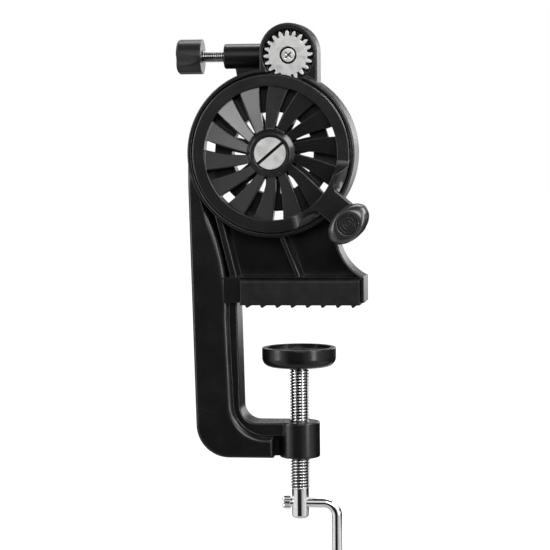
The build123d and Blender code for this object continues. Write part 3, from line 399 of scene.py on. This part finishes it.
def make_floor():
    """Pale floor under the handle's lowest reach, lifted to white where it is seen."""
    mesh = bpy.data.meshes.new("floor")
    edges = ((-1, FLOOR_FRONT), (1, FLOOR_FRONT), (1, FLOOR_HALF), (-1, FLOOR_HALF))
    corners = [(side * FLOOR_HALF, y, FLOOR_Z) for side, y in edges]
    mesh.from_pydata(corners, [], [(0, 1, 2, 3)])
    floor = bpy.data.objects.new("floor", mesh)
    bpy.context.scene.collection.objects.link(floor)
    made = Surface("pale_floor", grey(0.7), 0.9, specular=0.0)
    made.shader.inputs["Emission Color"].default_value = grey(1.0, 1.0)
    away = made.vector_maths("LENGTH", made.place)
    glow = made.ranged(away, *FLOOR_GLOW_REACH, *FLOOR_GLOW, interpolation_type="SMOOTHSTEP")
    rays, seen = ray_kinds(made)
    made.feed(made.maths("MULTIPLY", seen, glow), made.shader.inputs["Emission Strength"])
    back = made.mixed(made.ranged(away, *FLOOR_BACK_WHITE), made.grey_ramp(away, FLOOR_BACK_BANDS), 1.0)
    banded = made.mixed(behind(made, made.axes(made.place)), 1.0, back)
    beyond = made.maths("MULTIPLY", banded, studio_walls(made, made.place))
    mirrored = made.node("ShaderNodeEmission")
    patched = made.mixed(made.ranged(away, *FLOOR_PATCH_EDGE), FLOOR_PATCH, beyond)
    made.feed(patched, mirrored.inputs["Color"])
    either = made.node("ShaderNodeMixShader")
    made.feed(rays["Is Glossy Ray"], either.inputs["Fac"])
    made.feed(made.shader.outputs["BSDF"], either.inputs[1])
    made.feed(mirrored.outputs["Emission"], either.inputs[2])
    made.feed(either.outputs["Shader"], made.tree.nodes["Material Output"].inputs["Surface"])
    mesh.materials.append(made.material)


MIDDLE = (0.0, 0.0, 0.05)
# Place, point that it faces, width and height in metres, and watts
LAMPS = {
    "key": ((0.4, -1.47, 0.6), MIDDLE, 0.85, 0.5, 11.0),
    "side": ((1.05, -0.3, 0.85), MIDDLE, 0.5, 0.8, 14.0),
    "top": ((0.1, 0.35, 1.1), MIDDLE, 0.8, 0.5, 8.0),
    "rim": ((0.5, 1.1, 0.32), (0.0, 0.0, 0.12), 0.35, 0.4, 2.2),
    "left_strip": ((-1.0, -0.5, 0.15), MIDDLE, 0.3, 1.3, 10.0),
    "right_strip": ((1.05, -0.75, 0.05), MIDDLE, 0.25, 1.1, 9.0),
}


def make_lamps():
    """Soft rectangular lamps, which the camera doesn't see."""
    for name, (place, aim, width, height, watts) in LAMPS.items():
        light = bpy.data.lights.new(name, "AREA")
        light.shape = "RECTANGLE"
        light.size = width
        light.size_y = height
        light.energy = watts
        lamp = bpy.data.objects.new(name, light)
        lamp.visible_camera = False
        bpy.context.scene.collection.objects.link(lamp)
        lamp.location = place
        lamp.rotation_euler = (Vector(aim) - Vector(place)).to_track_quat("-Z", "Y").to_euler()


# ---------------------------------------------------------------- finishes of the CAD pieces
DEEP_BLACK = (0.003, 0.003, 0.0032)
BLACK = (0.005, 0.005, 0.0052)
CONE_BLACK = (0.007, 0.007, 0.0072)
GRIP_BLACK = (0.01, 0.01, 0.0103)
CHROME = (0.86, 0.86, 0.87)
BRONZE = (0.6, 0.42, 0.24)
DARK_STEEL = (0.09, 0.09, 0.092)
# Material, colour, roughness, size and depth of the grain and radius of the edges in mm, specular level
PLASTICS = {
    "frame": ("frame_black", DEEP_BLACK, 0.25, 0.5, 0.008, 0.8, 0.35),
    "hand_wheel": ("wheel_black", BLACK, 0.22, 0.6, 0.006, 0.6, 0.5),
    "crank_grip": ("grip_black", GRIP_BLACK, 0.26, 0.7, 0.006, 0.5, 0.7),
    "grip_cap": ("cap_black", BLACK, 0.3, 0.6, 0.005, 0.3, 0.4),
    "tension_knob": ("knob_black", BLACK, 0.3, 0.6, 0.006, 0.4, 0.4),
    "clamp_pad": ("pad_black", DEEP_BLACK, 0.25, 0.6, 0.006, 0.5, 0.3),
    "inner_cone": ("cone_black", CONE_BLACK, 0.32, 0.6, 0.006, 0.4, 0.4),
    "outer_cone": ("cone_black_outer", CONE_BLACK, 0.32, 0.6, 0.006, 0.4, 0.4),
    "spool_nut": ("nut_black", CONE_BLACK, 0.32, 0.6, 0.006, 0.4, 0.4),
}
# Material, colour and roughness
RUBBERS = {
    "jaw_pad": ("boot_rubber", grey(0.004), 0.42),
    "brake_shoe": ("shoe_rubber", grey(0.02), 0.6),
}
# Material, colour, roughness and radius of the edges in mm
METALS = {
    "spindle_collar": ("collar_steel", grey(0.6), 0.28, 0.3),
    "wheel_axle": ("axle_steel", grey(0.62), 0.25, 0.3),
    "wheel_washer": ("washer_steel", grey(0.65), 0.3, 0.2),
    "crank_pin": ("pin_steel", grey(0.62), 0.25, 0.2),
    "pad_retainer": ("retainer_steel", grey(0.6), 0.3, 0.2),
    "tension_insert": ("insert_steel", DARK_STEEL, 0.35, 0.2),
    "clamp_insert": ("clamp_insert_steel", DARK_STEEL, 0.35, 0.2),
    "front_bush": ("bush_bronze", BRONZE, 0.4, 0.2),
    "rear_bush": ("rear_bush_bronze", BRONZE, 0.4, 0.2),
    "wheel_bush": ("wheel_bush_bronze", BRONZE, 0.4, 0.2),
}


def finish_cad():
    """Gives every CAD node its material."""
    finishes = {}
    for node, (name, colour, roughness, grain, depth, rounding, specular) in PLASTICS.items():
        finishes[node] = plastic(name, colour, roughness, grain * MM, depth * MM, rounding * MM, specular)
    for node, settings in RUBBERS.items():
        finishes[node] = rubber(*settings)
    for node, (name, colour, roughness, rounding) in METALS.items():
        finishes[node] = metal(name, colour, roughness, rounding * MM)
    finishes["clamp_handle"] = metal("handle_chrome", CHROME, 0.09, 0.3 * MM, streaks=(0.2, 1.0, 1.0))
    coin_axis = Vector(joints["wheel_spin"]["pos_m"])
    gear_axis = Vector(joints["spindle_spin"]["pos_m"])
    coin_low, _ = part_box("coin_screw")
    screw_low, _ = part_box("pinion_screw")
    _, gear_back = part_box("pinion")
    # inner and outer radii of the dark rings painted as shadow round the coin screw, the gear's hub and
    # the pinion screw
    coin_shadow_ring = (7.9 * MM, 9.0 * MM)
    gear_shadow_ring = (3.5 * MM, 4.3 * MM)
    screw_shadow_ring = (3.3 * MM, 4.0 * MM)
    finishes["coin_screw"] = turned_metal(
        "coin_metal", (0.7, 0.7, 0.69), 0.4, coin_axis, 0.2 * MM, coin_low.y, coin_shadow_ring
    )
    finishes["pinion"] = turned_metal(
        "gear_metal", (0.66, 0.66, 0.65), 0.36, gear_axis, 0.25 * MM, gear_back.y, gear_shadow_ring
    )
    finishes["pinion_screw"] = turned_metal(
        "pinion_screw_steel", grey(0.9), 0.3, gear_axis, 0.2 * MM, screw_low.y, screw_shadow_ring
    )
    for node, material in finishes.items():
        mesh = cad[node].data
        mesh.materials.clear()
        mesh.materials.append(material)


# ---------------------------------------------------------------- mesh builders
SHARP_ANGLE = math.radians(30.0)
MERGE_DISTANCE = 1e-7
SHORTEST_EDGE = 1e-8
ON_AXIS = 1e-9
# One turn of a thread: share of the pitch along the axis, and one at a crest or nought in a root
THREAD_POINTS = ((0.0, 1.0), (0.13, 1.0), (0.42, 0.0), (0.71, 0.0))
THREAD_SEGMENTS = 56
# Depth of a thread, and how far its ends are chamfered, as shares of the pitch
THREAD_DEPTH = 0.6
THREAD_END_DEPTH = 0.75


def place_along(axis, origin):
    """Matrix that takes +Z to an axis and the origin to a point."""
    turn = Vector(Z_AXIS).rotation_difference(Vector(axis)).to_matrix().to_4x4()
    return Matrix.Translation(Vector(origin)) @ turn


def weld(mesh_data):
    bmesh.ops.remove_doubles(mesh_data, verts=mesh_data.verts, dist=MERGE_DISTANCE)
    bmesh.ops.dissolve_degenerate(mesh_data, edges=mesh_data.edges, dist=SHORTEST_EDGE)


def finish_mesh(mesh_data, name, matrix):
    """Turns a bmesh into an object, with smooth faces and sharp creases."""
    weld(mesh_data)
    bmesh.ops.recalc_face_normals(mesh_data, faces=mesh_data.faces)
    mesh_data.transform(matrix)
    mesh = bpy.data.meshes.new(name)
    mesh_data.to_mesh(mesh)
    mesh_data.free()
    for face in mesh.polygons:
        face.use_smooth = True
    mesh.set_sharp_from_angle(angle=SHARP_ANGLE)
    made = bpy.data.objects.new(name, mesh)
    bpy.context.scene.collection.objects.link(made)
    return made


def add_lathe(mesh_data, profile, segments=64):
    """Solid of revolution about Z over (radius, height) points, whose ends are on the axis."""
    loops = []
    for radius, height in profile:
        if radius < ON_AXIS:
            loops.append([mesh_data.verts.new((0.0, 0.0, height))])
            continue
        loop = []
        for step in range(segments):
            angle = 2 * math.pi * step / segments
            loop.append(mesh_data.verts.new((radius * math.cos(angle), radius * math.sin(angle), height)))
        loops.append(loop)
    for lower, upper in zip(loops, loops[1:]):
        for step in range(segments):
            after = (step + 1) % segments
            if len(lower) == 1:
                mesh_data.faces.new((lower[0], upper[after], upper[step]))
            elif len(upper) == 1:
                mesh_data.faces.new((lower[step], lower[after], upper[0]))
            else:
                mesh_data.faces.new((lower[step], lower[after], upper[after], upper[step]))


def add_thread(mesh_data, radius, pitch, start, end):
    """Right-handed 60-degree thread about Z in an empty bmesh, chamfered and closed at both ends."""
    end_radius = radius - pitch * THREAD_END_DEPTH
    depth = THREAD_DEPTH * pitch
    per_turn = len(THREAD_POINTS)
    rows = per_turn * (math.ceil((end - start) / pitch) + 3)
    columns = []
    for step in range(THREAD_SEGMENTS):
        angle = 2 * math.pi * step / THREAD_SEGMENTS
        column = []
        for row in range(rows):
            share, crest = THREAD_POINTS[row % per_turn]
            raw = start + pitch * (row // per_turn - 2 + share + step / THREAD_SEGMENTS)
            height = min(max(raw, start), end)
            room = end_radius + min(height - start, end - height)
            out = min(radius - depth * (1.0 - crest), room)
            column.append(mesh_data.verts.new((out * math.cos(angle), out * math.sin(angle), height)))
        columns.append(column)
    for step, here in enumerate(columns):
        after = columns[(step + 1) % THREAD_SEGMENTS]
        jump = per_turn if step == THREAD_SEGMENTS - 1 else 0
        for row in range(rows - 1 - jump):
            mesh_data.faces.new((here[row], after[row + jump], after[row + 1 + jump], here[row + 1]))
    weld(mesh_data)
    open_edges = [edge for edge in mesh_data.edges if edge.is_boundary]
    bmesh.ops.holes_fill(mesh_data, edges=open_edges, sides=0)


def drilled(blank, point, radius):
    """Mesh of a blank with a hole along X through a point; the blank is used up."""
    reach = 20 * MM
    cutter_data = bmesh.new()
    add_lathe(cutter_data, [(0.0, -reach), (radius, -reach), (radius, reach), (0.0, reach)], 40)
    cutter = finish_mesh(cutter_data, "hole_cutter", place_along(X_AXIS, point))
    cut = blank.modifiers.new("hole", "BOOLEAN")
    cut.operation = "DIFFERENCE"
    cut.solver = "EXACT"
    cut.object = cutter
    bpy.context.view_layer.update()
    mesh = bpy.data.meshes.new_from_object(blank.evaluated_get(bpy.context.evaluated_depsgraph_get()))
    for used in (blank, cutter):
        old = used.data
        bpy.data.objects.remove(used)
        bpy.data.meshes.remove(old)
    return mesh


def stand_in(piece, material, body, *replaced):
    """A modelled piece takes a node's place on its body."""
    piece.data.materials.append(material)
    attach(piece, body)
    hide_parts(*replaced)


# ---------------------------------------------------------------- screws with real threads
def make_clamp_screw():
    """Clamp screw: stem, M10 thread and plain shank with a cross hole for the handle."""
    low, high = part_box("clamp_screw")
    pad_low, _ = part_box("clamp_pad")
    handle = Vector(joints["handle_swing"]["pos_m"])
    radius = high.x
    pitch = 1.5 * MM
    shank_radius = 4.25 * MM
    shank_rounding = 1.6 * MM
    rounding_steps = 5
    hole_radius = 2.7 * MM
    stem_radius = 3.2 * MM
    chamfer = 0.5 * MM
    thread_top = pad_low.z - 0.3 * MM
    thread_bottom = handle.z + 6.45 * MM
    piece = bmesh.new()
    add_thread(piece, radius, pitch, thread_bottom, thread_top)
    profile = [(0.0, low.z), (shank_radius - shank_rounding, low.z)]
    for step in range(1, rounding_steps + 1):
        turn = math.pi / 2 * step / rounding_steps
        out = shank_radius - shank_rounding + shank_rounding * math.sin(turn)
        profile.append((out, low.z + shank_rounding - shank_rounding * math.cos(turn)))
    profile += [(shank_radius, thread_bottom + pitch), (0.0, thread_bottom + pitch)]
    shank = bmesh.new()
    add_lathe(shank, profile)
    shank_mesh = drilled(finish_mesh(shank, "shank_blank", Matrix.Identity(4)), handle, hole_radius)
    piece.from_mesh(shank_mesh)
    bpy.data.meshes.remove(shank_mesh)
    stem = [
        (0.0, thread_top - pitch),
        (stem_radius, thread_top - pitch),
        (stem_radius, high.z - chamfer),
        (stem_radius - chamfer, high.z),
        (0.0, high.z),
    ]
    add_lathe(piece, stem)
    made = finish_mesh(piece, "clamp_screw_threaded", Matrix.Identity(4))
    roots = (Z_AXIS, (0.0, 0.0, 0.0), radius, pitch, thread_bottom, thread_top)
    chrome = metal("clamp_screw_chrome", CHROME, 0.1, 0.04 * MM, roots=roots)
    stand_in(made, chrome, "screw", "clamp_screw")


def make_tension_screw():
    """Tension screw: M6 thread from the knob to the brake shoe."""
    low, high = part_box("tension_screw")
    axis = Vector(joints["tension_turn"]["pos_m"])
    radius = (high.z - low.z) / 2
    pitch = 1.0 * MM
    piece = bmesh.new()
    add_thread(piece, radius, pitch, low.x, high.x)
    made = finish_mesh(piece, "tension_screw_threaded", place_along(X_AXIS, (0.0, axis.y, axis.z)))
    roots = (X_AXIS, axis, radius, pitch, low.x, high.x)
    chrome = metal("tension_screw_chrome", CHROME, 0.1, 0.04 * MM, roots=roots)
    stand_in(made, chrome, "tension", "tension_screw")


def make_spindle():
    """Spindle: seat for the pinion, plain shaft, M8 thread for the spool nut and a thinner pilot."""
    low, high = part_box("spindle")
    axis = Vector(joints["spindle_spin"]["pos_m"])
    _, gear_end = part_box("pinion")
    _, cone_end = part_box("inner_cone")
    radius = (high.x - low.x) / 2
    seat_radius = 3.0 * MM
    pilot_radius = 3.2 * MM
    pilot_start = high.y - 8.0 * MM
    chamfer = 0.6 * MM
    pitch = 1.25 * MM
    thread_start = cone_end.y + 1.0 * MM
    piece = bmesh.new()
    add_thread(piece, radius, pitch, thread_start, pilot_start)
    shaft = [
        (0.0, low.y),
        (seat_radius, low.y),
        (seat_radius, gear_end.y),
        (radius, gear_end.y),
        (radius, thread_start),
        (radius - chamfer, thread_start + chamfer),
        (0.0, thread_start + chamfer),
    ]
    add_lathe(piece, shaft)
    pilot = [
        (0.0, pilot_start - chamfer),
        (pilot_radius, pilot_start - chamfer),
        (pilot_radius, high.y - chamfer),
        (pilot_radius - chamfer, high.y),
        (0.0, high.y),
    ]
    add_lathe(piece, pilot)
    made = finish_mesh(piece, "spindle_threaded", place_along(Y_AXIS, (axis.x, 0.0, axis.z)))
    roots = (Y_AXIS, axis, radius, pitch, thread_start, pilot_start)
    steel = metal("spindle_steel", grey(0.66), 0.18, 0.2 * MM, roots=roots)
    stand_in(made, steel, "drive", "spindle")


make_camera()
make_world()
make_floor()
make_lamps()
finish_cad()
make_clamp_screw()
make_tension_screw()
make_spindle()

bpy.context.scene.view_settings.view_transform = "Standard"
